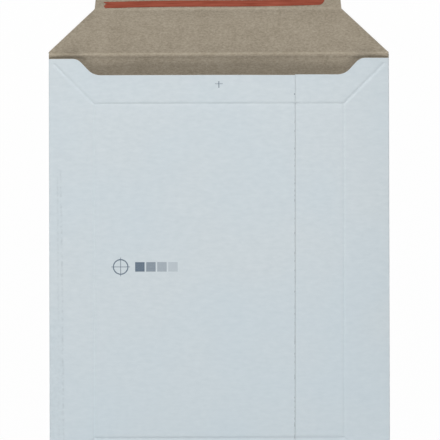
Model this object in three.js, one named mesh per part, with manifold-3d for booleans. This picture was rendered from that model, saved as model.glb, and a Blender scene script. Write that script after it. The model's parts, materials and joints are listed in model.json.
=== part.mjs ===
// A mailing envelope of white-lined solid board, lying on its back with its closing flap folded open.
// Millimetres, +Z up. The origin is the middle of the back panel's underside. +X runs across the
// envelope and +Y runs from the bottom fold to the closing flap.

import * as THREE from 'three';
import { mergeVertices } from 'three/addons/utils/BufferGeometryUtils.js';
import Module from 'manifold-3d';

const wasm = await Module();
wasm.setup();

// Board and folded envelope
const boardThickness = 0.6;
const width = 216; // side fold to side fold
const backHeight = 273.4; // bottom fold to flap crease
const shoulderDrop = 3.2; // flap crease to the top edge of the front
const seamX = 48.2; // edge of the left front panel, which lies over the right one
const seamOverlap = 20; // hidden strip of the right panel under the left one
const rightPanelShift = 0.2; // the right panel was folded a little high

// Throat, the shallow cut in the front's top edge
const shoulderLength = 18.3; // side fold to the start of the slope
const throatRun = 9.9; // slope, across
const throatDepth = 10.5; // slope, down
const throatRadius = 7.5;

// Pocket, sprung open by the folds
const pocketRise = 4.9; // free height at the middle of the mouth
const riseLength = 110; // bottom fold to where the front has its full height
const risePower = 4; // how flat the middle of the front stays
const seamRiseLength = 12; // bottom fold to where the seam has its full thickness
const bottomGlue = 8; // width of the glued edge inside the bottom fold

// Creases pressed into the front
const creaseInset = 28.8; // fold to crease, on every side
const creaseRadius = 2;
const creaseDepth = 0.2;
const creaseCornerGap = 5; // fold to the end of a corner crease

// Bottom flap, glued over the front
const bottomFlapHeight = 20;
const bottomFlapInset = 4; // side fold to the flap's corner
const bottomFlapRadius = 3;
const seamDrapeRun = 6; // how far the flap takes to step down off the seam

// Closing flap and its tab
const hingeGap = 0.3;
const flapDepth = 28.2; // flap crease to tab crease
const flapRootEdge = 0.9; // straight edge before the slanted one
const flapRootRadius = 1;
const tabWidth = 156.6;
const tabLength = 30;
const tabTaper = THREE.MathUtils.degToRad(6);
const tabRadius = 8;

// Tear tape, adhesive strip and release liner on the tab
const tapeWidth = 3.9;
const tapeThickness = 0.1;
const tapeLeftMargin = 5.5; // tab's edge to the end of the tape
const tapeRightMargin = 11;
const tapeGap = 0.1; // crease bead to the tape's nearest corner
const tapeSkew = THREE.MathUtils.degToRad(0.73);
const tapeEndStraight = 0.1; // straight edge above the quarter round at the right end
const adhesiveWidth = 10;
const adhesiveThickness = 0.15;
const sealTipMargin = 5.5; // tab's tip to the liner
const sealSideMargin = 5; // tab's side to the liner
const linerMargin = 1.5; // liner past the adhesive, on every side
const linerThickness = 0.1;
const linerCorner = 1;

// Faceting
const sideStations = 11;
const riseStations = 12;
const arcSegments = 6;
const drapeStep = 8; // length of one facet along a crease
const mergeDistance = 1e-4;
const cutMargin = 5; // how far cutters stand clear of what they cut

const halfWidth = width / 2;
const creaseY = backHeight / 2;
const bottomY = -creaseY;
const shoulderY = creaseY - shoulderDrop;
const innerFloor = boardThickness;
const flatFold = 2 * boardThickness;
const bottomFold = 3 * boardThickness; // back, front and bottom flap
const creaseHalfWidth = Math.sqrt(2 * creaseRadius * creaseDepth - creaseDepth ** 2);
const tabHalf = tabWidth / 2;
const tipHalf = tabHalf - tabLength * Math.tan(tabTaper);

/** Where the front stands across the envelope, from flat, 0, at the folds to full height, 1. */
function acrossRise(x) {
  return 1 - Math.abs(x / halfWidth) ** risePower;
}

/** The same along it, from about flat at the bottom fold to full height a length further up. */
function alongRise(y, length) {
  const fromFold = y - bottomY + boardThickness;
  return 1 - Math.max(0, 1 - fromFold / length) ** risePower;
}

/** Undersides of the two front panels. At the seam the left one is one board above the right one. */
function rightCeiling(x, y) {
  return innerFloor + pocketRise * acrossRise(x) * alongRise(y, riseLength);
}

function leftCeiling(x, y) {
  const lift = (acrossRise(x) / acrossRise(seamX)) * alongRise(y, seamRiseLength);
  return rightCeiling(x, y) + boardThickness * lift;
}

const leftTop = (x, y) => leftCeiling(x, y) + boardThickness;
const rightTop = (x, y) => rightCeiling(x, y) + boardThickness;

/** Turns a closed three.js geometry into a solid that can be cut and joined. */
function solidOf(geometry) {
  const bare = geometry.clone();
  bare.deleteAttribute('normal');
  bare.deleteAttribute('uv');
  const merged = mergeVertices(bare, mergeDistance);
  return new wasm.Manifold(new wasm.Mesh({
    numProp: 3,
    vertProperties: new Float32Array(merged.attributes.position.array),
    triVerts: new Uint32Array(merged.index.array),
  }));
}

/** Turns a solid back into a three.js geometry. */
function geometryOf(solid) {
  const { vertProperties, triVerts } = solid.getMesh();
  const geometry = new THREE.BufferGeometry();
  geometry.setAttribute('position', new THREE.BufferAttribute(vertProperties, 3));
  geometry.setIndex(new THREE.BufferAttribute(triVerts, 1));
  geometry.computeVertexNormals();
  return geometry;
}

/** Moves every point of a geometry by place(point). */
function reshape(geometry, place) {
  const points = geometry.attributes.position;
  const point = new THREE.Vector3();
  for (let i = 0; i < points.count; i += 1) {
    place(point.fromBufferAttribute(points, i));
    points.setXYZ(i, point.x, point.y, point.z);
  }
  return geometry;
}

/** A closed outline through corners [x, y, radius], each rounded by an arc of its radius. */
function roundedShape(corners) {
  const shape = new THREE.Shape();
  const place = (i) => new THREE.Vector2(...corners.at(i % corners.length));
  corners.forEach(([, , radius = 0], i) => {
    const corner = place(i);
    const before = place(i - 1).sub(corner).normalize();
    const after = place(i + 1).sub(corner).normalize();
    const half = before.angleTo(after) / 2;
    const start = corner.clone().addScaledVector(before, radius / Math.tan(half));
    if (i === 0) {
      shape.moveTo(start.x, start.y);
    } else {
      shape.lineTo(start.x, start.y);
    }
    if (radius > 0) {
      const towards = before.clone().add(after).normalize();
      const centre = corner.clone().addScaledVector(towards, radius / Math.sin(half));
      const end = corner.clone().addScaledVector(after, radius / Math.tan(half));
      const from = start.sub(centre).angle();
      const to = end.sub(centre).angle();
      shape.absarc(centre.x, centre.y, radius, from, to, before.cross(after) > 0);
    }
  });
  return shape;
}

/** A flat piece of constant thickness, with its lower face at z = 0. */
function plate(shape, thickness) {
  return new THREE.ExtrudeGeometry(shape, {
    depth: thickness,
    bevelEnabled: false,
    curveSegments: arcSegments,
  });
}

/** Places across one front panel, closer together towards the side folds. */
function placesAcross(from, to) {
  const reach = halfWidth - boardThickness;
  const places = [from];
  for (let i = -sideStations; i <= sideStations; i += 1) {
    const x = reach * Math.sin((i / sideStations) * (Math.PI / 2));
    if (x > from + boardThickness && x < to - boardThickness) {
      places.push(x);
    }
  }
  return [...places, to];
}

/**
 * A cross-section carried from the flap crease down to endY. The section is drawn with x across and,
 * as y, the number of a layer, counted upwards. heights[layer](x, y) is where that layer lies.
 */
function layered(section, heights, endY) {
  const steps = riseStations + 1;
  const shape = new THREE.Shape(section.map(([x, layer]) => new THREE.Vector2(x, layer)));
  const geometry = new THREE.ExtrudeGeometry(shape, { depth: steps, steps, bevelEnabled: false });
  return reshape(geometry, (point) => {
    const station = Math.round(point.z);
    const layer = Math.round(point.y);
    const risen = bottomY + riseLength;
    const fromRisen = (station - 1) / riseStations;
    point.y = station === 0 ? creaseY : THREE.MathUtils.lerp(risen, endY, fromRisen);
    point.z = heights[layer](point.x, point.y);
  });
}

/** The outside of the folded envelope as if it were full, up to the flap crease. */
function outerForm() {
  const reach = halfWidth - boardThickness;
  const heights = [() => 0, rightTop, leftTop];
  const section = [
    [reach, 0],
    [-reach, 0],
    ...placesAcross(-reach, seamX).map((x) => [x, 2]),
    ...placesAcross(seamX, reach).map((x) => [x, 1]),
  ];
  return solidOf(layered(section, heights, bottomY));
}

/** One rounded side fold, a round bar as thick as two boards. */
function sideFold(side) {
  const bar = new THREE.CylinderGeometry(
    boardThickness,
    boardThickness,
    backHeight,
    4 * arcSegments,
  );
  bar.translate(side * (halfWidth - boardThickness), 0, boardThickness);
  return solidOf(bar);
}

/** The space between back and front, open towards the flap. */
function pocketForm() {
  const reach = halfWidth - flatFold;
  const heights = [() => innerFloor, rightCeiling, leftCeiling];
  const innerSeam = seamX - seamOverlap;
  const section = [
    [reach, 0],
    [-reach, 0],
    ...placesAcross(-reach, innerSeam).map((x) => [x, 2]),
    ...placesAcross(innerSeam, reach).map((x) => [x, 1]),
  ];
  return solidOf(layered(section, heights, bottomY + bottomGlue));
}

/** What the throat and the low top edge take away from one front panel. */
function throatCut(side, lift) {
  const outer = side * (halfWidth + cutMargin);
  const slopeTop = side * (halfWidth - shoulderLength);
  const slopeFoot = side * (halfWidth - shoulderLength - throatRun);
  const edge = shoulderY + lift;
  const cut = plate(roundedShape([
    [outer, edge],
    [slopeTop, edge, throatRadius],
    [slopeFoot, edge - throatDepth, throatRadius],
    [seamX, edge - throatDepth],
    [seamX, creaseY + cutMargin],
    [outer, creaseY + cutMargin],
  ]), pocketRise + cutMargin);
  cut.translate(0, 0, innerFloor);
  return solidOf(cut);
}

/** A round rule laid on a surface from one place to another, which presses a crease into it. */
function creaseRule([fromX, fromY], [toX, toY], surface) {
  const length = Math.hypot(toX - fromX, toY - fromY);
  const round = new THREE.Shape();
  round.absarc(0, 0, creaseRadius, 0, 2 * Math.PI);
  const rule = new THREE.ExtrudeGeometry(round, {
    depth: length,
    steps: Math.ceil(length / drapeStep),
    bevelEnabled: false,
    curveSegments: 2 * arcSegments,
  });
  rule.rotateX(Math.PI / 2);
  rule.rotateZ(Math.atan2(toY - fromY, toX - fromX) + Math.PI / 2);
  rule.translate(fromX, fromY, creaseRadius - creaseDepth);
  return solidOf(reshape(rule, (point) => {
    point.z += surface(point.x, point.y);
  }));
}

/** The creases of the front: a rectangle inside its edges, and a line to each corner. */
function frontCreases() {
  const panels = [
    { side: -1, lift: 0, surface: leftTop },
    { side: 1, lift: rightPanelShift, surface: rightTop },
  ];
  const rules = panels.flatMap(({ side, lift, surface }) => {
    const x = side * (halfWidth - creaseInset);
    const top = shoulderY + lift - creaseInset;
    const bottom = bottomY + lift + creaseInset;
    const cornerX = side * (halfWidth - creaseCornerGap);
    const cornerTop = shoulderY + lift - creaseCornerGap;
    const cornerBottom = bottomY + lift + creaseCornerGap;
    return [
      creaseRule([x, top], [seamX, top], surface),
      creaseRule([x, bottom], [seamX, bottom], surface),
      creaseRule([x, top], [x, bottom], surface),
      creaseRule([x, top], [cornerX, cornerTop], surface),
      creaseRule([x, bottom], [cornerX, cornerBottom], surface),
    ];
  });
  return rules.reduce((all, rule) => all.add(rule));
}

/** The surface that the bottom flap lies on, with a smooth step down at the seam. */
function underFlap(x, y) {
  const off = THREE.MathUtils.smoothstep(x, seamX, seamX + seamDrapeRun);
  return THREE.MathUtils.lerp(leftTop(x, y), rightTop(x, y), off);
}

/** The bottom flap, sunk to the middle of the boards that it is glued to. */
function bottomFlap() {
  const reach = halfWidth - boardThickness;
  const half = boardThickness / 2;
  const heights = [
    (x, y) => rightTop(x, y) - half,
    (x, y) => leftTop(x, y) - half,
    (x, y) => underFlap(x, y) + boardThickness,
  ];
  const section = [
    ...placesAcross(-reach, seamX).map((x) => [x, 2]),
    [seamX + seamDrapeRun / 2, 2],
    ...placesAcross(seamX + seamDrapeRun, reach).map((x) => [x, 2]),
    ...placesAcross(seamX, reach).reverse().map((x) => [x, 0]),
    ...placesAcross(-reach, seamX).reverse().map((x) => [x, 1]),
  ];
  const band = solidOf(layered(section, heights, bottomY));
  const foot = halfWidth - bottomFlapInset;
  const tip = foot - bottomFlapHeight;
  const outline = plate(roundedShape([
    [-foot, bottomY - cutMargin],
    [foot, bottomY - cutMargin],
    [foot, bottomY],
    [tip, bottomY + bottomFlapHeight, bottomFlapRadius],
    [-tip, bottomY + bottomFlapHeight, bottomFlapRadius],
    [-foot, bottomY],
  ]), pocketRise + cutMargin);
  return band.intersect(solidOf(outline));
}

/** Everything inside the half round bottom fold. */
function bottomFoldLimit() {
  const radius = bottomFold / 2;
  const top = pocketRise + cutMargin;
  const profile = new THREE.Shape();
  profile.moveTo(creaseY + cutMargin, 0);
  profile.lineTo(creaseY + cutMargin, top);
  profile.lineTo(bottomY + radius, top);
  profile.absarc(bottomY + radius, radius, radius, Math.PI / 2, (3 * Math.PI) / 2);
  const limit = plate(profile, width + 2 * cutMargin);
  limit.rotateX(Math.PI / 2);
  limit.rotateZ(Math.PI / 2);
  limit.translate(-halfWidth - cutMargin, 0, 0);
  return solidOf(limit);
}

/** The folded and glued sheet up to the flap crease. */
function envelopeBody() {
  const endCut = plate(roundedShape([
    [-halfWidth - cutMargin, creaseY - hingeGap / 2],
    [halfWidth + cutMargin, creaseY - hingeGap / 2],
    [halfWidth + cutMargin, creaseY + cutMargin],
    [-halfWidth - cutMargin, creaseY + cutMargin],
  ]), cutMargin);
  endCut.translate(0, 0, -cutMargin / 2);
  const body = outerForm()
    .add(sideFold(-1))
    .add(sideFold(1))
    .subtract(pocketForm())
    .subtract(throatCut(-1, 0))
    .subtract(throatCut(1, rightPanelShift))
    .subtract(frontCreases())
    .add(bottomFlap())
    .intersect(bottomFoldLimit())
    .subtract(solidOf(endCut));
  return geometryOf(body);
}

/** A bar with a flat foot and a round top, as a crease stands out of the board's inner face. */
function creaseBead(length) {
  const half = creaseHalfWidth;
  const opening = Math.asin(half / creaseRadius);
  const section = new THREE.Shape();
  section.absarc(
    0,
    creaseDepth - creaseRadius,
    creaseRadius,
    Math.PI / 2 - opening,
    Math.PI / 2 + opening,
  );
  section.lineTo(-half, -creaseDepth);
  section.lineTo(half, -creaseDepth);
  const bar = plate(section, length);
  bar.rotateX(Math.PI / 2);
  bar.rotateZ(Math.PI / 2);
  bar.translate(-length / 2, 0, 0);
  return bar;
}

/** The closing flap and its tab, lying flat, with the flap crease at y = 0. */
function closingFlap() {
  const root = hingeGap / 2;
  const tip = flapDepth + tabLength;
  const board = solidOf(plate(roundedShape([
    [-halfWidth, root],
    [halfWidth, root],
    [halfWidth, flapRootEdge, flapRootRadius],
    [tabHalf, flapDepth, flapRootRadius],
    [tipHalf, tip, tabRadius],
    [-tipHalf, tip, tabRadius],
    [-tabHalf, flapDepth, flapRootRadius],
    [-halfWidth, flapRootEdge, flapRootRadius],
  ]), boardThickness));
  const rootBead = creaseBead(width - 2 * creaseRadius);
  rootBead.translate(0, root + creaseHalfWidth, boardThickness);
  const tabBead = creaseBead(tabWidth - 2 * creaseRadius);
  tabBead.translate(0, flapDepth, boardThickness);
  const tabGroove = creaseBead(width);
  tabGroove.translate(0, flapDepth, 0);
  const creased = board.add(solidOf(rootBead)).add(solidOf(tabBead)).subtract(solidOf(tabGroove));
  return geometryOf(creased);
}

/** A straight strip with its middle at the origin and rounded corners. */
function strip(length, across, thickness, radii) {
  const [first, second, third, fourth] = radii;
  return plate(roundedShape([
    [-length / 2, -across / 2, first],
    [length / 2, -across / 2, second],
    [length / 2, across / 2, third],
    [-length / 2, across / 2, fourth],
  ]), thickness);
}

/** A finish seen in the solids' own colours. */
function finish(color, roughness) {
  return new THREE.MeshStandardMaterial({ color, roughness, metalness: 0 });
}

const whiteBoard = finish(0xcbd4d9, 0.75);
const greyBoard = finish(0x988f7e, 0.9);
const redFilm = finish(0x964d3c, 0.4);
const clearGlue = finish(0xd9cfae, 0.3);
const linerPaper = finish(0xc7a77c, 0.5);

/** Adds one named piece to a group. */
function addPiece(group, name, geometry, material, place = [0, 0, 0], turn = 0) {
  const mesh = new THREE.Mesh(geometry, material);
  mesh.name = name;
  mesh.position.set(...place);
  mesh.rotation.z = turn;
  group.add(mesh);
}

const envelope = new THREE.Group();
addPiece(envelope, 'envelope_body', envelopeBody(), whiteBoard);

const flap = new THREE.Group();
flap.position.y = creaseY;
addPiece(flap, 'closing_flap', closingFlap(), greyBoard);

const tapeLength = tabWidth - tapeLeftMargin - tapeRightMargin;
const tapeFall = (tapeLength / 2) * Math.sin(tapeSkew);
const tapeY = flapDepth + creaseHalfWidth + tapeGap + tapeWidth / 2 + tapeFall;
addPiece(
  flap,
  'tear_tape',
  strip(tapeLength, tapeWidth, tapeThickness, [0, tapeWidth - tapeEndStraight, 0, 0]),
  redFilm,
  [(tapeLeftMargin - tapeRightMargin) / 2, tapeY, boardThickness],
  tapeSkew,
);

const linerLength = 2 * (tipHalf - sealSideMargin);
const linerWidth = adhesiveWidth + 2 * linerMargin;
const sealY = flapDepth + tabLength - sealTipMargin - linerWidth / 2;
addPiece(
  flap,
  'adhesive_strip',
  strip(linerLength - 2 * linerMargin, adhesiveWidth, adhesiveThickness, [0, 0, 0, 0]),
  clearGlue,
  [0, sealY, boardThickness],
);
addPiece(
  flap,
  'release_liner',
  strip(linerLength, linerWidth, linerThickness, Array(4).fill(linerCorner)),
  linerPaper,
  [0, sealY, boardThickness + adhesiveThickness],
);
envelope.add(flap);

export default envelope;
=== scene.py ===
# %% [markdown]
# A mailing envelope of white-lined board, lying on its back with its closing flap folded open.
# The real thing is one sheet: a die cuts and creases it, a machine folds it round at both sides
# and glues the seam and the bottom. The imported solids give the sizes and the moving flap. Here
# the sheet is drawn again with its true skin: white outside, grey inside and at every cut edge.

# %% Load the frame
import json

import bpy
import numpy as np
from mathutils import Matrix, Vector


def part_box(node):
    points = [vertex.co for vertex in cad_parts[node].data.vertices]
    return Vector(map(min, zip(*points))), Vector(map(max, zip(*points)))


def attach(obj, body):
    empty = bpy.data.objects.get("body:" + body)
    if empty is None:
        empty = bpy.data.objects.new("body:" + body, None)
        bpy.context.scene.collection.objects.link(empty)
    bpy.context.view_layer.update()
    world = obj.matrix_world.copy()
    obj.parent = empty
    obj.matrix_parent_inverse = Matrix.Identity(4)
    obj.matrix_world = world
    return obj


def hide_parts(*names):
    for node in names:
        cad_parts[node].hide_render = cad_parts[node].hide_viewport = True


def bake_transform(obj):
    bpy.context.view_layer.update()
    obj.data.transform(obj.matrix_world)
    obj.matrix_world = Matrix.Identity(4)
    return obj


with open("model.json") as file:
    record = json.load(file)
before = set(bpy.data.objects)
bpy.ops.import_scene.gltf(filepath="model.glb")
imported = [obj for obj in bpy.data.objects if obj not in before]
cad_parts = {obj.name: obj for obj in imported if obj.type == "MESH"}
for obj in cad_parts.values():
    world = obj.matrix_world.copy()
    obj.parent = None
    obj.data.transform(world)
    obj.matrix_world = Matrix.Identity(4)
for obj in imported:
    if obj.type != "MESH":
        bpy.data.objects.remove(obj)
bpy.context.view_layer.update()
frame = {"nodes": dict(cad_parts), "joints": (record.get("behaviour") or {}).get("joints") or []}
print("nodes:", ", ".join(sorted(frame["nodes"])))

# %% [markdown]
# Sizes are written in millimetres, as a box maker writes them, and become metres when a mesh is
# made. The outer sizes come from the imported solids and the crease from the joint, so that the
# dressed envelope keeps the frame's place and length.

# %% Sizes
MM = 0.001
hinge = frame["joints"][0]
body_low, body_high = (np.array(corner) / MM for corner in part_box("envelope_body"))
_, flap_high = (np.array(corner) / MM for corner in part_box("closing_flap"))
half_width = body_high[0]
bottom_y = body_low[1]
crease_y = hinge["pos_m"][1] / MM
flap_reach = flap_high[1] - crease_y

board = 0.6
seam_x = 48.2
seam_overlap = 20
seam_rise_length = 12
right_panel_shift = 0.2
shoulder_y = crease_y - 3.2
pocket_rise = 4.9
rise_length = 110
rise_power = 4
fold_radius = 0.66
bottom_radius = 0.9
bottom_edge = bottom_y + bottom_radius
glue_line = 0.03
print(f"{2 * half_width:.1f} mm wide, {crease_y - bottom_y:.1f} high, flap {flap_reach:.1f} mm more")

# %% [markdown]
# The front is sprung open by its folds. It lies flat along the side folds and at the bottom and
# arches over the mouth. A fourth power keeps the arch flat in its middle, as stiff board stays.
# The left panel laps over the right one, so it stands one board higher at the seam.

# %% The arch of the front
def across_rise(x):
    """One, less the fourth power of the distance from the middle as a share of the half width."""
    return 1 - np.abs(x / half_width) ** rise_power


def along_rise(y, length):
    """One, less the fourth power of the share of the length that is still to go from the fold."""
    return 1 - np.maximum(0, 1 - (y - bottom_y + board) / length) ** rise_power


def right_top(x, y):
    """Outside of the right panel: two boards, plus the free height times both rises."""
    return 2 * board + pocket_rise * across_rise(x) * along_rise(y, rise_length)


def left_top(x, y):
    """Outside of the left panel: the right one's, plus a board and the glue under it."""
    lift = across_rise(x) / across_rise(seam_x) * along_rise(y, seam_rise_length)
    return right_top(x, y) + (board + glue_line) * lift


print(f"crown of the front at {left_top(0, 0):.2f} mm, solids at {body_high[2]:.2f} mm")

# %% [markdown]
# A crease is pressed into the outside by a blunt rule. It leaves a groove outside and a bead of
# the same height inside. Its profile here is a bell curve over the distance from the rule's line,
# and where two creases meet the deeper one counts. The bottom crease is the deepest, the upright
# ones are the faintest. Below a level crease the board comes up only slowly, so on that side
# those creases fade over a few millimetres instead.

# %% Creases
crease_inset = 28.8
bottom_crease_inset = 29.4
crease_corner_gap = 3.5
crease_depth = 0.34
bottom_crease_depth = 0.5
upright_depth = {-1: 0.31, 1: 0.2}
crease_width = 0.75
tail_length = 3.0
tail_fade = 3.0
crease_x = half_width - crease_inset
top_crease = shoulder_y - crease_inset
bottom_crease = bottom_y + bottom_crease_inset
corner_run = crease_inset - crease_corner_gap


def smooth_step(x, start, end):
    """Nought before start, one after end, and three squares less two cubes of the share between."""
    share = np.clip((x - start) / (end - start), 0, 1)
    return share ** 2 * (3 - 2 * share)


def pressed(x, y, start, end, depth, width):
    """Depth times a bell curve of the distance to the line from start to end."""
    start = np.array(start)
    along = np.array(end) - start
    share = ((x - start[0]) * along[0] + (y - start[1]) * along[1]) / (along @ along)
    share = np.clip(share, 0, 1)
    distance = np.hypot(x - start[0] - share * along[0], y - start[1] - share * along[1])
    return depth * np.exp(-(distance / width) ** 2)


def low_side(y, line_y, depth):
    """The slow side of a level crease: its depth fades with the distance below, nought above it."""
    return depth * np.exp((y - line_y) / tail_length) * (y < line_y)


def front_creases(x, y, side):
    """The rectangle of creases on one front panel and its two lines to the corners.

    The slow sides of the level creases end a little before the upright one.
    """
    line_x = side * crease_x
    corner_x = side * (crease_x + corner_run)
    lines = [
        ((line_x, top_crease), (seam_x, top_crease), crease_depth),
        ((line_x, bottom_crease), (seam_x, bottom_crease), bottom_crease_depth),
        ((line_x, top_crease), (line_x, bottom_crease), upright_depth[side]),
        ((line_x, top_crease), (corner_x, top_crease + corner_run), crease_depth),
        ((line_x, bottom_crease), (corner_x, bottom_crease - corner_run), crease_depth),
    ]
    grooves = [pressed(x, y, a, b, depth, crease_width) for a, b, depth in lines]
    tails = [low_side(y, top_crease, crease_depth), low_side(y, bottom_crease, bottom_crease_depth)]
    inside = 1 - smooth_step(side * x, crease_x - tail_fade, crease_x)
    return np.maximum(np.max(grooves, axis=0), np.max(tails, axis=0) * inside)


print(f"creases {crease_inset} mm in from the folds, {crease_depth} mm deep")

# %% [markdown]
# Three marks go on the board. A belt of the folding machine has rubbed the left margin: two faint
# lines, and a breath of grey between them and the fold that grows towards the bottom. Along the
# two flap creases a lighter line is painted on the side of each bead that faces the light: a
# painted highlight, with some scuffing of the bare fibres in it. On the tab's crease it is
# strongest over its middle, where that crease is also pressed deepest. And further below, the
# seam's cut edge is greyed in spots: smudges, and painted shade of the step there.

# %% Wear, smudges and painted light
belt_width = 0.65
# Start, end and strength of each stretch
belt_lines = [
    ((-100.7, 62), (-99.9, 5), 0.9),
    ((-99.9, 5), (-99.1, -136), 0.9),
    ((-102.6, 60), (-101.9, -136), 0.55),
]
belt_haze = 0.3
haze_columns = (-99, -100)
haze_rows = (10, -70)
# Width, places and tilt of the lighter lines along the flap creases: a painted highlight, with some
# scuffing
highlight_width = 0.65
# Distance past the flap crease and strength
root_highlight = (0.05, 1.0)
tab_highlight = (28.6, 0.9)
highlight_tilt = 0.0035
tab_fade = 0.5
tab_fade_from = 33
tab_fade_to = 52


def belt_wear(x, y):
    """The strongest of the lines, or the haze beside them, which fades in from the middle down."""
    lines = np.max([pressed(x, y, a, b, s, belt_width) for a, b, s in belt_lines], axis=0)
    haze = belt_haze * smooth_step(x, *haze_columns) * smooth_step(y, *haze_rows)
    return np.maximum(lines, haze)


def tab_share(x):
    """One over the middle of the tab's crease, and less towards its ends."""
    return 1 - tab_fade * smooth_step(np.abs(x), tab_fade_from, tab_fade_to)


def crease_wear(x, y):
    """Bell curves of the distance to the two lighter lines, a painted highlight with some scuffing,
    which are a little out of true.
    """
    out = y - crease_y - highlight_tilt * x
    root, tab = (
        share * np.exp(-((out - place) / highlight_width) ** 2)
        for place, share in (root_highlight, tab_highlight)
    )
    return root + tab * tab_share(x)


print(f"scuffs {root_highlight[0]} and {tab_highlight[0]} mm past the flap crease")

# %% [markdown]
# The die's outline is straight lines joined by arcs. One function rounds the corners of a line,
# and the outlines of throat, closing flap, tab and bottom flap all come from it.

# %% Outlines
arc_steps = 8
shoulder_length = 18.3
throat_run = 9.9
throat_depth = 10.5
throat_radius = 7.5
throat_foot_radius = 10.5
flap_depth = 28.2
flap_root_edge = 0.75
flap_root_radius = 0.8
tab_half = 78.3
tab_root = 28.45
tab_root_radius = 1.0
tab_taper = np.radians(6)
tab_radius = 8
tip_half = tab_half - (flap_reach - flap_depth) * np.tan(tab_taper)
bottom_flap_inset = 4
bottom_flap_foot = half_width - bottom_flap_inset
bottom_flap_height = 20
bottom_flap_radius = 3


def rounded_line(corners):
    """A line through corners (x, y, radius): an arc that touches both legs rounds each inner one."""
    pieces = [np.array([corners[0][:2]])]
    for before, (x, y, radius), after in zip(corners, corners[1:-1], corners[2:]):
        corner = np.array([x, y])
        back = np.array(before[:2]) - corner
        ahead = np.array(after[:2]) - corner
        back = back / np.linalg.norm(back)
        ahead = ahead / np.linalg.norm(ahead)
        half = np.arccos(np.clip(back @ ahead, -1, 1)) / 2
        towards = (back + ahead) / np.linalg.norm(back + ahead)
        centre = corner + towards * radius / np.sin(half)
        from_start = corner + back * radius / np.tan(half) - centre
        from_end = corner + ahead * radius / np.tan(half) - centre
        turn = np.linspace(0, 1, arc_steps)[:, None]
        arc = (1 - turn) * from_start + turn * from_end
        pieces.append(centre + radius * arc / np.linalg.norm(arc, axis=1, keepdims=True))
    pieces.append(np.array([corners[-1][:2]]))
    return np.concatenate(pieces)


throat_line = rounded_line([
    (0, -throat_depth, 0),
    (half_width - shoulder_length - throat_run, -throat_depth, throat_foot_radius),
    (half_width - shoulder_length, 0, throat_radius),
    (half_width, 0, 0),
])
flap_line = rounded_line([
    (half_width - fold_radius, 0, 0),
    (half_width, fold_radius / 2, fold_radius / 4),
    (half_width, flap_root_edge, flap_root_radius),
    (tab_half, tab_root, tab_root_radius),
    (tip_half, flap_reach, tab_radius),
    (0, flap_reach, 0),
])[:-1]
bottom_flap_line = rounded_line([
    (bottom_flap_foot, 0, 0),
    (bottom_flap_foot - bottom_flap_height, bottom_flap_height, bottom_flap_radius),
    (0, bottom_flap_height, 0),
])[:-1]


def throat_edge(x):
    """Top edge of the front, from the shoulder's height down to the throat's, read off its line."""
    return shoulder_y + np.interp(np.abs(x), throat_line[:, 0], throat_line[:, 1])


print(f"tab {2 * tab_half:.1f} mm wide at its crease and {2 * tip_half:.1f} mm at its tip")

# %% [markdown]
# The sheet is a grid of points, fine where creases and edges need it and coarse on plain board.
# Its columns run round the envelope: from the hidden edge of the right panel, over the right
# fold, across the back, over the left fold to the seam. Its rows run from bottom to top. Each
# stretch of rows or columns has its own step.

# %% Rows and columns of the sheet
fine = 0.7
finest = 0.35
coarse = 3.2
edge_step = 0.2
# Columns near the seam are fine enough for its spots of smudge and painted shade
soil_reach = 0.5
lap_step = 0.4
groove_reach = 2
groove_rise = 2.4
tail_reach = 9
upright_reach = 6
lip_rows = 2.8
belt_from = -104
belt_to = -98
fold_steps = 9
fold_x = half_width - fold_radius
stretch_gap = 3
stretch_from = top_crease + stretch_gap


def spaced(stretches, end):
    """Places from (start, step) stretches: each is divided evenly into steps of about that size."""
    starts = [start for start, _ in stretches] + [end]
    runs = []
    for (start, step), stop in zip(stretches, starts[1:]):
        count = max(1, round(abs(stop - start) / step))
        runs.append(np.linspace(start, stop, count, endpoint=False))
    return np.concatenate([*runs, [end]])


row_y = spaced([
    (bottom_edge, edge_step),
    (bottom_edge + edge_step, fine),
    (bottom_crease - groove_reach, finest),
    (bottom_crease + groove_rise, coarse),
    (top_crease - tail_reach, 2 * fine),
    (top_crease - groove_reach, finest),
    (top_crease + groove_rise, fine),
    (shoulder_y - lip_rows, finest),
    (shoulder_y - edge_step, edge_step),
], shoulder_y)
left_x = spaced([
    (-fold_x, fine),
    (belt_from, finest),
    (belt_to, fine),
    (-crease_x - groove_reach, finest),
    (-crease_x + groove_reach, fine),
    (-crease_x + upright_reach, coarse),
    (seam_x - soil_reach, soil_reach - edge_step),
    (seam_x - edge_step, edge_step),
], seam_x)
right_x = spaced([
    (seam_x - seam_overlap, coarse),
    (seam_x - lap_step, lap_step),
    (seam_x, coarse),
    (crease_x - upright_reach, fine),
    (crease_x - groove_reach, finest),
    (crease_x + groove_reach, fine),
], fold_x)
back_half = spaced([
    (0, 2 * coarse),
    (bottom_flap_foot - edge_step, edge_step),
    (bottom_flap_foot, fold_x - edge_step - bottom_flap_foot),
    (fold_x - edge_step, edge_step),
], fold_x)
back_x = np.concatenate([back_half[::-1], -back_half[1:]])
fold_turn = np.linspace(np.pi / 2, -np.pi / 2, fold_steps)[1:-1]
print(f"{len(row_y)} rows; columns: right {len(right_x)}, back {len(back_x)}, left {len(left_x)}")

# %% [markdown]
# Each panel turns its own rows and columns into places. Rows above the top crease are stretched
# to end at the panel's cut edge, so one grid follows the throat as well as the straight crease.
# The die's stroke has turned that edge up by a hair. At the seam the left panel's edge hangs a
# little low, and the hidden lap of the right panel is cut back, so that it never shows. A fold is
# half an oval, as wide as the fold's radius and as high as the front above the back.

# %% Panels
bead_depth = 0.34
bead_width = 1.2
bead_drop = 1.2
tab_bead_depth = 0.26
tab_bead_width = 1.0
tab_bead_drop = 0.7
lip_lift = 0.12
lip_reach = 2.2
fold_cut = np.radians(45)
seam_lean = 0.0027
seam_true_y = 72
seam_sag = 0.15
seam_sag_reach = 40
lap_setback = 1.0


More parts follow.
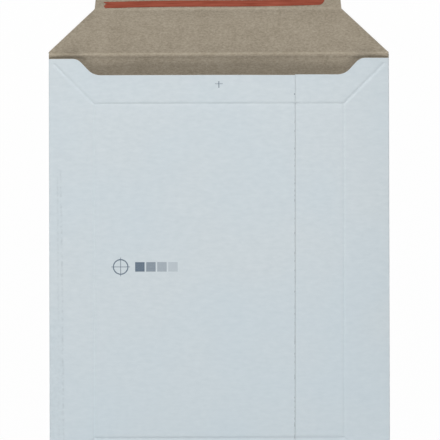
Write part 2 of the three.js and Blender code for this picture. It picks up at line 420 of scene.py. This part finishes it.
def rows_up_to(top):
    """Row heights: as spaced up to the top crease, then stretched evenly to end at top."""
    share = (top - stretch_from) / (shoulder_y - stretch_from)
    rows = row_y[:, None]
    return np.where(rows <= stretch_from, rows, stretch_from + (rows - stretch_from) * share)


def flap_creases(x, y):
    """Bell curves at the flap crease and at the tab crease, pressed from below."""
    out = y - crease_y
    root = bead_depth * np.exp(-((out + bead_drop) / bead_width) ** 2)
    tab = tab_bead_depth * np.exp(-((out - flap_depth + tab_bead_drop) / tab_bead_width) ** 2)
    return root + tab * tab_share(x)


def front_panel(x, side, lift, height):
    """A front panel: its arch, less its creases, plus a lip that decays away from the cut edge.

    The cut edge is raised by the lift, one number or one for each column. The left panel leans
    more and more towards the seam, because its edge is cut out of true.
    """
    top = throat_edge(x)[None, :] + lift
    y = rows_up_to(top)
    x = np.broadcast_to(x, y.shape)
    lip = lip_lift * np.exp((y - top) / lip_reach)
    lean = seam_lean * (y - seam_true_y) * smooth_step(-side * x, 0, seam_x)
    return np.stack([x + lean, y, height(x, y) - front_creases(x, y, side) + lip], -1)


def side_fold(turn, side, lift, height):
    """A fold: half an oval from the front, at a quarter turn, to the back, at minus a quarter.

    Its end is cut steeply, from the shoulder in front up to the flap crease behind.
    """
    top = crease_y + (shoulder_y + lift - crease_y) * smooth_step(turn, -fold_cut, fold_cut)
    y = rows_up_to(top[None, :])
    x = np.broadcast_to(side * (fold_x + fold_radius * np.cos(turn)), y.shape)
    return np.stack([x, y, height(side * fold_x, y) / 2 * (1 + np.sin(turn))], -1)


def back_panel():
    """The back: flat on the table, with the start of the flap crease's bead."""
    y = rows_up_to(np.full((1, len(back_x)), crease_y))
    x = np.broadcast_to(back_x, y.shape)
    return np.stack([x, y, flap_creases(x, y)], -1)


left_lift = -seam_sag * smooth_step(left_x, seam_x - seam_sag_reach, seam_x)
right_lift = right_panel_shift - lap_setback * (right_x < seam_x - lap_step / 2)
sleeve = np.concatenate([
    front_panel(right_x, 1, right_lift, right_top),
    side_fold(fold_turn, 1, right_panel_shift, right_top),
    back_panel(),
    side_fold(fold_turn[::-1], -1, 0, left_top),
    front_panel(left_x, -1, left_lift, left_top),
], axis=1)
back_columns = len(right_x) + len(fold_turn) + np.arange(len(back_x))
print("sleeve grid", sleeve.shape)

# %% [markdown]
# The closing flap goes on where the back ends, over the crease that turns. Every row is as wide
# as its outline says. The bottom flap starts at the back's lower edge, turns round the bottom and
# lies on the front, glued there. It steps down softly off the seam.

# %% Flaps
seam_drape = 6
flap_aside = -0.4
flap_aside_from = 1.8
root_rows = 3
tab_rows = 2
tip_rows = 3
bottom_flap_start = 1
bottom_flap_step = 2
bottom_turn = np.linspace(-np.pi / 2, np.pi / 2, fold_steps)[1:]


def closing_flap():
    """The flap and its tab: the back's columns, scaled in each row to the outline's half width.

    A little way from the crease the whole flap lies aside, as the photographed one does.
    """
    plain = spaced([
        (finest, finest),
        (root_rows, 2 * coarse),
        (flap_depth - tab_rows, finest),
        (flap_depth + tab_rows, 2 * coarse),
    ], flap_reach - edge_step)
    tip = flap_line[flap_line[:, 1] > flap_depth + tip_rows, 1]
    out = np.unique(np.concatenate([plain, tip]).round(4))
    half = np.interp(out, flap_line[:, 1], flap_line[:, 0])
    aside = flap_aside * smooth_step(out, 0, flap_aside_from)
    x = back_x[None, :] / fold_x * half[:, None] + aside[:, None]
    y = np.broadcast_to(crease_y + out[:, None], x.shape)
    return np.stack([x, y, flap_creases(x, y)], -1)


def bottom_flap(x):
    """The bottom flap: half an oval round the fold, then rows that lie on the front."""
    flat = np.unique(np.concatenate([
        np.arange(bottom_flap_start, bottom_flap_height - bottom_radius, bottom_flap_step),
        bottom_flap_line[1:, 1] - bottom_radius,
        [bottom_flap_height - bottom_radius - edge_step],
    ]).round(4))
    flat = flat[flat > 0]
    reach = np.concatenate([bottom_radius * (1 - np.cos(bottom_turn)), bottom_radius + flat])
    half = np.interp(reach, bottom_flap_line[:, 1], bottom_flap_line[:, 0])
    x = x[None, :] / bottom_flap_foot * half[:, None]
    y = np.tile(bottom_y + reach[:, None], len(x[0]))
    count = len(bottom_turn)
    y[:count] = bottom_edge
    off = smooth_step(x, seam_x, seam_x + seam_drape)
    z = left_top(x, y) * (1 - off) + right_top(x, y) * off + board + glue_line
    z[:count] *= (1 + np.sin(bottom_turn))[:, None] / 2
    y[:count] = bottom_edge - bottom_radius * np.cos(bottom_turn)[:, None]
    return np.stack([x, y, z], -1)


closing = closing_flap()
foot_columns = np.abs(back_x) <= bottom_flap_foot + edge_step / 2
bottom = bottom_flap(back_x[foot_columns])
print("closing flap grid", closing.shape, "bottom flap grid", bottom.shape)

# %% [markdown]
# The three grids share the back's first and last row, so they join to one sheet in the shape of a
# cross. The sheet then gets its thickness: the inside lies one board further in along the
# normals, and a rounded rim closes every cut edge. A modifier could do that, but its rim is
# square, and a cut edge of board is soft.

# %% From a sheet to a board
rim_turns = np.radians([50, 20, -20, -50])


def grid_index(grid, start=0):
    """Numbers for the points of a grid, row by row, from start on."""
    return start + np.arange(grid[..., 0].size).reshape(grid.shape[:2])


def grid_quads(index):
    """Four neighbours for each cell of an index grid, anticlockwise seen from outside."""
    corners = [index[:-1, :-1], index[:-1, 1:], index[1:, 1:], index[1:, :-1]]
    return np.stack(corners, -1).reshape(-1, 4)


def sheet_normals(points, quads):
    """At each point the sum of the crossed diagonals of the cells around it, made one long."""
    first = points[quads[:, 2]] - points[quads[:, 0]]
    second = points[quads[:, 3]] - points[quads[:, 1]]
    normals = np.zeros_like(points)
    np.add.at(normals, quads, np.cross(first, second)[:, None, :])
    return normals / np.linalg.norm(normals, axis=1, keepdims=True)


def thick_sheet(points, quads, thickness, bulge):
    """Outside, inside and rim of a sheet. The rim bulges outwards by a half oval of that depth.

    The bulge is one number or one for each point. Gives places, faces, a finish for each face, and
    for each place the sheet's point it came from.
    """
    count = len(points)
    normals = sheet_normals(points, quads)
    edges = np.stack([quads, np.roll(quads, -1, axis=1)], -1).reshape(-1, 2)
    forward = edges[:, 0] * count + edges[:, 1]
    backward = edges[:, 1] * count + edges[:, 0]
    open_edges = edges[~np.isin(forward, backward)]
    outward = np.zeros_like(points)
    run = points[open_edges[:, 1]] - points[open_edges[:, 0]]
    np.add.at(outward, open_edges, np.cross(run[:, None, :], normals[open_edges]))
    rim = np.unique(open_edges)
    outward = outward[rim] / np.linalg.norm(outward[rim], axis=1, keepdims=True)
    place = np.zeros(count, int)
    place[rim] = np.arange(len(rim))
    outward = outward * np.broadcast_to(bulge, count)[rim, None]
    rings = [
        points[rim] - thickness / 2 * (1 - np.sin(t)) * normals[rim] + np.cos(t) * outward
        for t in rim_turns
    ]
    levels = [open_edges]
    levels += [place[open_edges] + 2 * count + i * len(rim) for i in range(len(rim_turns))]
    levels += [open_edges + count]
    rim_quads = [
        np.stack([upper[:, 0], lower[:, 0], lower[:, 1], upper[:, 1]], -1)
        for upper, lower in zip(levels, levels[1:])
    ]
    vertices = np.concatenate([points, points - thickness * normals, *rings])
    faces = np.concatenate([quads, quads[:, ::-1] + count, *rim_quads])
    finish = np.repeat([0, 1, 2], [len(quads), len(quads), len(open_edges) * len(rim_quads)])
    source = np.concatenate([np.arange(count), np.arange(count), np.tile(rim, len(rim_turns))])
    return vertices, faces, finish, source


def add_piece(name, vertices, faces, finish, materials, smooth=True, **values):
    """A mesh object at the origin from places in millimetres and four corners for each face.

    Each face has one of the materials, and each further value becomes an attribute of the places.
    """
    mesh = bpy.data.meshes.new(name)
    mesh.vertices.add(len(vertices))
    mesh.vertices.foreach_set("co", (vertices * MM).astype(np.float32).ravel())
    mesh.loops.add(faces.size)
    mesh.loops.foreach_set("vertex_index", faces.astype(np.int32).ravel())
    mesh.polygons.add(len(faces))
    mesh.polygons.foreach_set("loop_start", np.arange(0, faces.size, 4, dtype=np.int32))
    mesh.polygons.foreach_set("material_index", finish.astype(np.int32))
    mesh.polygons.foreach_set("use_smooth", np.full(len(faces), smooth))
    for material in materials:
        mesh.materials.append(material)
    for key, value in values.items():
        attribute = mesh.attributes.new(key, "FLOAT", "POINT")
        attribute.data.foreach_set("value", value.astype(np.float32))
    mesh.update(calc_edges=True)
    mesh.validate()
    piece = bpy.data.objects.new(name, mesh)
    bpy.context.scene.collection.objects.link(piece)
    print(f"{name}: {len(vertices)} points, {2 * len(faces)} triangles")
    return piece


sleeve_index = grid_index(sleeve)
closing_index = grid_index(closing, sleeve_index.size)
bottom_index = grid_index(bottom, sleeve_index.size + closing_index.size)
closing_index = np.vstack([sleeve_index[-1, back_columns], closing_index])
bottom_index = np.vstack([bottom_index[::-1], sleeve_index[0, back_columns[foot_columns]]])
sheet_points = np.concatenate([grid.reshape(-1, 3) for grid in (sleeve, closing, bottom)])
sheet_quads = np.concatenate([grid_quads(i) for i in (sleeve_index, closing_index, bottom_index)])
print(f"sheet of {len(sheet_points)} points and {len(sheet_quads)} cells")

# %% [markdown]
# Finishes are node materials. One small function adds a node, sets its values and links its
# inputs, and a few more build the steps that most finishes share. Colours are written as sRGB hex,
# as a picture editor shows them, and turned to linear light by one function. Patterns read Object
# coordinates in metres, so a scale is one over a size.

# %% Helpers for finishes
MIX_FACTOR, MIX_A, MIX_B, MIX_RESULT = 0, 6, 7, 2
FLOAT_A, FLOAT_B, FLOAT_RESULT = 2, 3, 0


def linear(colour):
    """An sRGB hex colour as linear red, green, blue and alpha, by the sRGB curve."""
    channels = np.array([int(colour[i:i + 2], 16) for i in (1, 3, 5)]) / 255
    low = channels / 12.92
    high = ((channels + 0.055) / 1.055) ** 2.4
    return (*np.where(channels <= 0.04045, low, high), 1.0)


def add_node(tree, kind, inputs=None, **settings):
    """Adds a node, sets its own settings, and gives each input a value or a link."""
    node = tree.nodes.new(kind)
    for name, value in settings.items():
        setattr(node, name, value)
    for name, value in (inputs or {}).items():
        if isinstance(value, bpy.types.NodeSocket):
            tree.links.new(value, node.inputs[name])
        else:
            node.inputs[name].default_value = value
    return node


def new_finish(name, roughness, ior=1.45, specular=0.5):
    """A material with one Principled shader, its node tree, and the place for its patterns."""
    material = bpy.data.materials.new(name)
    material.use_nodes = True
    tree = material.node_tree
    shader = tree.nodes["Principled BSDF"]
    shader.inputs["Roughness"].default_value = roughness
    shader.inputs["IOR"].default_value = ior
    shader.inputs["Specular IOR Level"].default_value = specular
    return material, tree, add_node(tree, "ShaderNodeTexCoord").outputs["Object"]


def noise(tree, place, size, detail, roughness=0.5):
    """A noise from nought to one, its features that size in millimetres, or sizes along X, Y, Z."""
    spread = add_node(tree, "ShaderNodeMapping", {
        "Vector": place, "Scale": tuple(1 / (np.broadcast_to(size, 3) * MM)),
    })
    pattern = add_node(tree, "ShaderNodeTexNoise", {
        "Vector": spread.outputs["Vector"], "Scale": 1.0, "Detail": detail, "Roughness": roughness,
    })
    return pattern.outputs["Fac"]


def ranged(tree, value, start, end, low=0.0, high=1.0):
    """Low at start, high at end, in proportion between them and held beyond them."""
    node = add_node(tree, "ShaderNodeMapRange", {
        "Value": value, "From Min": start, "From Max": end, "To Min": low, "To Max": high,
    })
    return node.outputs["Result"]


def combined(tree, operation, first, second):
    """Two values added, multiplied or compared, as the operation says."""
    node = add_node(tree, "ShaderNodeMath", {0: first, 1: second}, operation=operation)
    return node.outputs["Value"]


def mixed(tree, share, first, second):
    """A colour between two others, hex or linked, with that share of the second."""
    first, second = (linear(c) if isinstance(c, str) else c for c in (first, second))
    node = add_node(tree, "ShaderNodeMix", {
        MIX_FACTOR: share, MIX_A: first, MIX_B: second,
    }, data_type="RGBA")
    return node.outputs[MIX_RESULT]


def covered(tree, colour, attribute, cover, amount):
    """A colour with another over it, by one of the mesh's attributes times an amount."""
    spread = add_node(tree, "ShaderNodeAttribute", attribute_name=attribute)
    return mixed(tree, combined(tree, "MULTIPLY", spread.outputs["Fac"], amount), colour, cover)


def coated(material, colour, height=None, strength=0.0, depth=0.0):
    """The material with that colour and, where a height is given, a bump that many mm deep."""
    tree = material.node_tree
    shader = tree.nodes["Principled BSDF"]
    tree.links.new(colour, shader.inputs["Base Color"])
    if height is not None:
        bump = add_node(tree, "ShaderNodeBump", {
            "Height": height, "Strength": strength, "Distance": depth * MM,
        })
        tree.links.new(bump.outputs["Normal"], shader.inputs["Normal"])
    return material


print("white is", linear("#ffffff"))

# %% [markdown]
# White-lined board is grey recycled board with a thin bleached sheet on its outside. The liner is
# matt and hardly mottled: its fibres lie along the machine's run, which is across the envelope.
# So the noise is drawn out along X, and its two colours differ by only a few levels. Wide clouds
# of a slightly cooler white make it uneven, as recycled stock is, and a cooler, slightly darker
# tint grows towards the bottom. Where the belt has rubbed it, it is greyed in small spots, and
# along the seam's cut edge grey spots paint smudges and the shade of the step there.

# %% White liner
# Grey for the belt's rubbing and for the seam's spots of smudge and painted shade
worn_and_shaded_grey = "#8d979d"


def white_liner():
    """Two whites mixed by a stretched noise, tinted in clouds and towards the bottom, greyed in
    spots where rubbed and, at the seam, in smudges and painted shade, with some tooth.
    """
    material, tree, place = new_finish("white liner of solid board", roughness=0.85, ior=1.35)
    mottle = noise(tree, place, size=(5.5, 2.4, 5.5), detail=2.5, roughness=0.6)
    plain = mixed(tree, mottle, "#c5cfd4", "#d5dde1")
    clouds = noise(tree, place, size=60, detail=1.0)
    haze = ranged(tree, clouds, start=0.4, end=0.7, high=0.2)
    axes = add_node(tree, "ShaderNodeSeparateXYZ", {"Vector": place})
    drift = ranged(tree, axes.outputs["Y"], start=0.0, end=bottom_y * MM, high=0.3)
    tinted = mixed(tree, combined(tree, "ADD", haze, drift), plain, "#c2d3dd")
    spots = noise(tree, place, size=2.2, detail=1.0)
    rub = ranged(tree, spots, start=0.35, end=0.7, high=0.3)
    rubbed = covered(tree, tinted, "wear", worn_and_shaded_grey, rub)
    # Spots along the seam's edge: smudges, and painted shade of the step beside it
    smudge_and_shade = ranged(tree, spots, start=0.52, end=0.66, high=0.7)
    soiled = covered(tree, rubbed, "soil", worn_and_shaded_grey, smudge_and_shade)
    return coated(material, soiled, mottle, strength=0.15, depth=0.02)


liner_finish = white_liner()
print("finish:", liner_finish.name)

# %% [markdown]
# The inside is the bare grey board. It is made from waste paper, so short light and dark fibres
# show in it. Two noises make them: one for the fibres, stretched along the machine's run, and one
# for cloudy patches. Fibres of a few tenths of a millimetre are drawn coarser so that they show.

# %% Grey board
# Colour and share of the painted highlight along the flap creases, with some scuffing in it
highlight_and_scuff_colour = "#d2c7b2"
highlight_and_scuff_amount = 0.18
cloud_share = 0.2


def grey_board(name, dark, light):
    """Two greys mixed by fibres and clouds, lighter along the flap creases' painted highlight, the
    fibres raised a little.
    """
    material, tree, place = new_finish(name, roughness=0.95, ior=1.35)
    fibres = noise(tree, place, size=(1.5, 0.8, 1.5), detail=3.0, roughness=0.7)
    clouds = noise(tree, place, size=14, detail=1.0)
    blend = add_node(tree, "ShaderNodeMix", {
        MIX_FACTOR: cloud_share, FLOAT_A: fibres, FLOAT_B: clouds,
    })
    spread = ranged(tree, blend.outputs[FLOAT_RESULT], start=0.3, end=0.7)
    plain = mixed(tree, spread, dark, light)
    # Lighter along the flap creases by the attribute: painted highlight, with some scuffing
    lit_and_scuffed = covered(tree, plain, "wear", highlight_and_scuff_colour, highlight_and_scuff_amount)
    return coated(material, lit_and_scuffed, fibres, strength=0.25, depth=0.05)


inside_finish = grey_board("unlined grey board", "#857b6a", "#aaa08f")
edge_finish = grey_board("die-cut board edge", "#7d7464", "#9a907f")
print("finishes:", inside_finish.name, "and", edge_finish.name)

# %% [markdown]
# The board is one piece: the envelope below the flap crease and the flap above it, joined smoothly
# over the crease. It stands for both solids of the board. Its cut edge at the seam is crisper than
# the others, most of all near the mouth, and further down it is greyed in spots: smudges, and
# painted shade of the step there.

# %% The folded board
edge_bulge = 0.1
seam_nip = 0.5
mouth_rows = (85, 112)
near_mouth = smooth_step(sheet_points[:, 1], *mouth_rows)
seam_edge = sleeve_index[:, -1]
bulge = np.full(len(sheet_points), edge_bulge)
bulge[seam_edge] *= seam_nip * (1 - near_mouth[seam_edge])
*board_mesh, source = thick_sheet(sheet_points, sheet_quads, board, bulge)
sheet_x, sheet_y, sheet_z = sheet_points[source].T
outside = np.arange(len(source)) < len(sheet_points)
on_front = (sheet_z > board) & (sheet_x < 0)
# The seam's outer edge is greyed in spots that fade towards the mouth: smudges, and painted shade of
# the step
at_seam = np.isin(source, sleeve_index[:, -2:])
soil = at_seam * (1 - near_mouth[source])
# Outside, the belt's rubbing; inside, the lighter lines along the flap creases: painted highlight,
# with some scuffing
wear = np.where(outside, on_front * belt_wear(sheet_x, sheet_y), crease_wear(sheet_x, sheet_y))
folded_board = add_piece(
    "folded_board", *board_mesh, [liner_finish, inside_finish, edge_finish], wear=wear, soil=soil,
)
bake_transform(folded_board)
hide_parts("envelope_body", "closing_flap")

# %% [markdown]
# The tear tape is a printed film on the tab. The machine that lays it is never quite true: the
# tape is a little skewed and wavy, its left end is torn and its right end cut round. Its solid
# gives its place. The tape is a grid over its length and width, bent at its ends to those shapes,
# and made a thin sheet.

# %% Tear tape
tape_low, tape_high = (np.array(corner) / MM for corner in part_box("tear_tape"))
tape_width = 3.9
tape_thickness = 0.1
tape_skew = np.radians(0.73)
tape_round = 3.8
tape_drop = 0.14
tear_base = 0.4
tear_depth = 2.4
tear_place = 0.42
tear_width = 0.09
# Height, pace and start of each wave
tear_waves = [(0.35, 5.0, 0.6), (0.22, 13.0, 0.0)]
tape_wavers = [(0.28, 2 * np.pi, 0.0), (0.03, 57.0, 1.0)]
tape_ripples = [(0.01, 90.0, 0.0)]
film_bulge = 0.02
tape_middle = (tape_low + tape_high) / 2
tape_length = (tape_high[0] - tape_low[0] - tape_width * np.sin(tape_skew)) / np.cos(tape_skew)


def hemmed(hem, inner, count):
    """Shares from minus one to one: that many between the inner ones, and a hem at each edge."""
    return np.concatenate([[-1, -hem], np.linspace(-inner, inner, count), [hem, 1]])


def waves(place, kinds):
    """A sum over the waves: height times the sine of the pace times the place plus the start."""
    return sum(height * np.sin(pace * place + start) for height, pace, start in kinds)


def tape_sheet():
    """Places along and across: the left end has waves and a narrow tear, the right one is round."""
    along = (1 + hemmed(hem=0.996, inner=0.98, count=60)[None, :]) / 2
    across = hemmed(hem=0.94, inner=0.85, count=21)[:, None]
    tear = tear_depth * np.exp(-((across - tear_place) / tear_width) ** 2)
    torn_end = tear_base + waves(across, tear_waves) + tear
    into_round = np.clip(1 - (1 + across) * tape_width / 2 / tape_round, 0, 1)
    round_end = tape_round * (1 - np.sqrt(1 - into_round ** 2))
    x = torn_end - tape_length / 2 + along * (tape_length - round_end - torn_end)
    y = across * tape_width / 2 + waves(along, tape_wavers)
    turned_x = x * np.cos(tape_skew) - y * np.sin(tape_skew)
    turned_y = x * np.sin(tape_skew) + y * np.cos(tape_skew)
    z = board + glue_line + tape_thickness + waves(along, tape_ripples) * (1 - across ** 2)
    return np.stack([turned_x + tape_middle[0], turned_y + tape_middle[1] - tape_drop, z], -1)


def red_film():
    """A satin film: red ink with faint streaks along the strip."""
    material, tree, place = new_finish(
        "printed tear tape film", roughness=0.55, ior=1.49, specular=0.2,
    )
    streaks = noise(tree, place, size=(14, 1.1, 5), detail=4.0)
    return coated(material, mixed(tree, streaks, "#672311", "#a85a46"))


def add_film(name, grid, thickness, material):
    """A piece of one material: a grid of its outside made that thick, with a rim hardly bulged."""
    quads = grid_quads(grid_index(grid))
    *mesh, _ = thick_sheet(grid.reshape(-1, 3), quads, thickness, film_bulge)
    return add_piece(name, *mesh, [material] * 3)


tear_tape = add_film("tear_tape_film", tape_sheet(), tape_thickness, red_film())
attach(tear_tape, "flap")
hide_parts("tear_tape")

# %% [markdown]
# The seal lies near the tab's tip: a line of tacky adhesive under a strip of silicone paper. The
# adhesive keeps its solid and gets its finish. The paper has cockled a little, so it is a grid
# with low waves, its corners rounded off at both ends.

# %% Seal
paper_low, paper_high = (np.array(corner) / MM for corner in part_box("release_liner"))
paper_corner = 1.0
# Height of each cockle and its lengths along X and Y
cockles = [(0.03, 7.0, 5.0), (0.02, 3.1, -2.0)]
cockle_lift = 0.05
paper_middle = (paper_low + paper_high) / 2
paper_half = (paper_high - paper_low) / 2


def paper_sheet():
    """Places along and across the strip: its ends drawn in at the corners, its height two waves."""
    along = hemmed(hem=0.998, inner=0.99, count=100)[None, :]
    across = hemmed(hem=0.98, inner=0.94, count=25)[:, None]
    into_corner = np.clip(1 - (1 - np.abs(across)) * paper_half[1] / paper_corner, 0, 1)
    reach = paper_half[0] - paper_corner * (1 - np.sqrt(1 - into_corner ** 2))
    x = paper_middle[0] + along * reach
    y = np.broadcast_to(paper_middle[1] + across * paper_half[1], x.shape)
    cockle = sum(height * np.sin(x / run + y / rise) for height, run, rise in cockles)
    return np.stack([x, y, paper_high[2] + cockle_lift + cockle], -1)


def silicone_paper():
    """Brown glassine with a soft shine and a faint cloud in its colour."""
    material, tree, place = new_finish(
        "siliconised release paper", roughness=0.5, ior=1.43, specular=0.25,
    )
    clouds = noise(tree, place, size=5, detail=4.0)
    return coated(material, mixed(tree, clouds, "#bd9d72", "#d0b187"))


def tacky_adhesive():
    """Pale yellow hot melt, glossy, with small ripples left by the nozzle."""
    material, tree, place = new_finish("tacky hot-melt adhesive", roughness=0.2, ior=1.5)
    ripples = noise(tree, place, size=2.5, detail=2.0)
    colour = mixed(tree, ripples, "#cfc39b", "#e2d9ba")
    return coated(material, colour, ripples, strength=0.4, depth=0.1)


release_paper = add_film("release_paper", paper_sheet(), 2 * paper_half[2], silicone_paper())
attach(release_paper, "flap")
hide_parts("release_liner")
adhesive = frame["nodes"]["adhesive_strip"]
adhesive.data.materials.clear()
adhesive.data.materials.append(tacky_adhesive())

# %% [markdown]
# The front carries a little print: a fold cross in its middle, a printer's control strip with a
# register ring, and a stray fleck by the seam. Print is ink on the liner, so each mark is a film
# that follows the arch, a hair above it. An attribute says how much of the paper the ink covers.

# %% Printed marks
ink_height = 0.02
ink_film = 0.01
ink_line = 0.35
bold_line = 2 * ink_line
thin_cover = 0.8
bar_steps = 5
cross_place = (0.0, 117.4)
cross_length = 5.0
cross_upright = 1.5 * ink_line
fleck_place = (47.95, 110.8)
ring_place = (-62.6, 1.4)
ring_radius = 4.6
ring_cross = 2.6 * ring_radius
ring_steps = 64
patch_size = 6.0
patch_pitch = 7.0
patch_start = (-50.4, 1.4)
patch_cover = [1.0, 0.75, 0.5, 0.25]


def mark_grid(x, y, cover):
    """A mark's places on the arch of the left panel, its ink cover at each, and its index grid."""
    x, y = np.broadcast_arrays(x, y)
    z = left_top(x, y) - front_creases(x, y, -1) + ink_height
    grid = np.stack([x, y, z], -1)
    return grid.reshape(-1, 3), np.full(x.size, cover), grid_index(grid)


def bar(x, y, width, height, cover=1.0):
    """A bar about its middle: places spread evenly over its width and height."""
    steps = np.linspace(-0.5, 0.5, bar_steps)
    return mark_grid(x + width * steps[None, :], y + height * steps[:, None], cover)


def ring(x, y, radius, line):
    """A ring: circles from the outer edge of its line to the inner one, closed on themselves."""
    turn = np.linspace(0, 2 * np.pi, ring_steps, endpoint=False)[None, :]
    reach = radius + line * np.array([0.5, 0, -0.5])[:, None]
    places, cover, index = mark_grid(x + reach * np.cos(turn), y + reach * np.sin(turn), 1.0)
    return places, cover, np.hstack([index, index[:, :1]])


def ink():
    """Slate offset ink: the liner's white mixed with the ink by its cover and a little speckle."""
    material, tree, place = new_finish("slate offset ink", roughness=0.75)
    speckle = noise(tree, place, size=0.8, detail=2.0)
    taken = ranged(tree, speckle, start=0.0, end=1.0, low=0.75)
    return coated(material, covered(tree, "#cbd4d9", "cover", "#44586c", taken))


marks = [
    bar(*cross_place, cross_length, ink_line, thin_cover),
    bar(*cross_place, cross_upright, cross_length),
    bar(*fleck_place, bold_line, bold_line, thin_cover),
    ring(*ring_place, ring_radius, bold_line),
    bar(*ring_place, ring_cross, ink_line),
    bar(*ring_place, ink_line, ring_cross),
]
marks += [
    bar(patch_start[0] + i * patch_pitch, patch_start[1], patch_size, patch_size, cover)
    for i, cover in enumerate(patch_cover)
]
mark_places, mark_covers, mark_indices = zip(*marks)
starts = np.cumsum([0] + [len(cover) for cover in mark_covers])
mark_quads = np.concatenate([grid_quads(start + i) for start, i in zip(starts, mark_indices)])
*mark_mesh, mark_source = thick_sheet(np.concatenate(mark_places), mark_quads, ink_film, 0)
print_marks = add_piece(
    "printed_marks", *mark_mesh, [ink()] * 3, smooth=False,
    cover=np.concatenate(mark_covers)[mark_source],
)
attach(print_marks, "envelope")

# %% [markdown]
# The studio is a copy stand: a pale floor under a white sky, with a soft lamp beyond the flap and
# a weaker one beyond the bottom. The upper lamp draws the creases, and the lower one throws the
# front's shadow into the mouth. Far away, a lamp loses little light over the envelope's length.
# The floor shows white to the camera, and a share of its own shading keeps the shadow.

# %% Studio
floor_white = 0.9
floor_reach = 2000
floor_drop = 0.3
sky_strength = 0.1
# Place and size in metres, power in watts
lamps = {
    "upper_soft_box": (Vector((-0.25, 2.58, 1.50)), 1.2, 96.6),
    "lower_soft_box": (Vector((-0.10, -3.45, 1.95)), 2.0, 115.5),
}


def seen_directly(tree):
    """One for rays from the camera, from gloss and through glass, otherwise nought."""
    rays = add_node(tree, "ShaderNodeLightPath").outputs
    shiny = combined(tree, "MAXIMUM", rays["Is Glossy Ray"], rays["Is Transmission Ray"])
    return combined(tree, "MAXIMUM", rays["Is Camera Ray"], shiny)


def studio_floor():
    """A square of matt white, two metres to each side, just under the back panel."""
    corners = floor_reach * np.array([[-1, -1], [1, -1], [1, 1], [-1, 1]])
    material = bpy.data.materials.new("matt white studio floor")
    material.use_nodes = True
    tree = material.node_tree
    tree.nodes.clear()
    shade = add_node(tree, "ShaderNodeBsdfDiffuse", {"Color": linear("#f7f7f7")})
    glow = add_node(tree, "ShaderNodeEmission", {"Color": linear("#ffffff"), "Strength": 1.0})
    share = combined(tree, "MULTIPLY", seen_directly(tree), floor_white)
    both = add_node(tree, "ShaderNodeMixShader", {
        0: share, 1: shade.outputs["BSDF"], 2: glow.outputs["Emission"],
    })
    add_node(tree, "ShaderNodeOutputMaterial", {"Surface": both.outputs["Shader"]})
    points = np.column_stack([corners, np.full(len(corners), -floor_drop)])
    return add_piece("studio_floor", points, np.array([[0, 1, 2, 3]]), np.zeros(1), [material])


def studio_sky():
    """A white world: full white where it is seen, and a share of it as light."""
    world = bpy.data.worlds.new("white studio sky")
    world.use_nodes = True
    tree = world.node_tree
    strength = ranged(tree, seen_directly(tree), start=0.0, end=1.0, low=sky_strength)
    background = tree.nodes["Background"]
    background.inputs["Color"].default_value = linear("#ffffff")
    tree.links.new(strength, background.inputs["Strength"])
    bpy.context.scene.world = world


studio_floor()
studio_sky()
for name, (place, size, power) in lamps.items():
    lamp_data = bpy.data.lights.new(name, "AREA")
    lamp_data.size = size
    lamp_data.energy = power
    lamp = bpy.data.objects.new(name, lamp_data)
    lamp.location = place
    lamp.rotation_mode = "QUATERNION"
    lamp.rotation_quaternion = place.to_track_quat("Z", "Y")
    lamp.visible_camera = False
    bpy.context.scene.collection.objects.link(lamp)
    print(f"{name}: {power} W at {place.length:.1f} m")
bpy.context.scene.view_settings.view_transform = "Standard"

# %% [markdown]
# The photograph looks straight down from far away. Its pixel places fix the camera: the two side
# folds give the scale and the middle, the flap crease gives the height of the frame, and the lean
# of the folds gives a small roll.

# %% Camera
photo_side = 440
left_fold_column = 49.2
right_fold_column = 389.25
crease_row = 53.6
camera_roll = np.radians(-0.15)
camera_lens = 500.0
mm_per_pixel = 2 * half_width / (right_fold_column - left_fold_column)
camera_x = (photo_side - left_fold_column - right_fold_column) / 2 * mm_per_pixel
camera_y = crease_y - (photo_side / 2 - crease_row) * mm_per_pixel

camera_data = bpy.data.cameras.new("camera")
camera_data.lens = camera_lens
camera_height = camera_lens / camera_data.sensor_width * photo_side * mm_per_pixel
camera = bpy.data.objects.new("camera", camera_data)
camera.location = (camera_x * MM, camera_y * MM, (camera_height + board) * MM)
camera.rotation_euler = (0, 0, camera_roll)
bpy.context.scene.collection.objects.link(camera)
bpy.context.scene.camera = camera
print(f"camera {camera_height:.0f} mm up, {mm_per_pixel:.4f} mm a pixel")
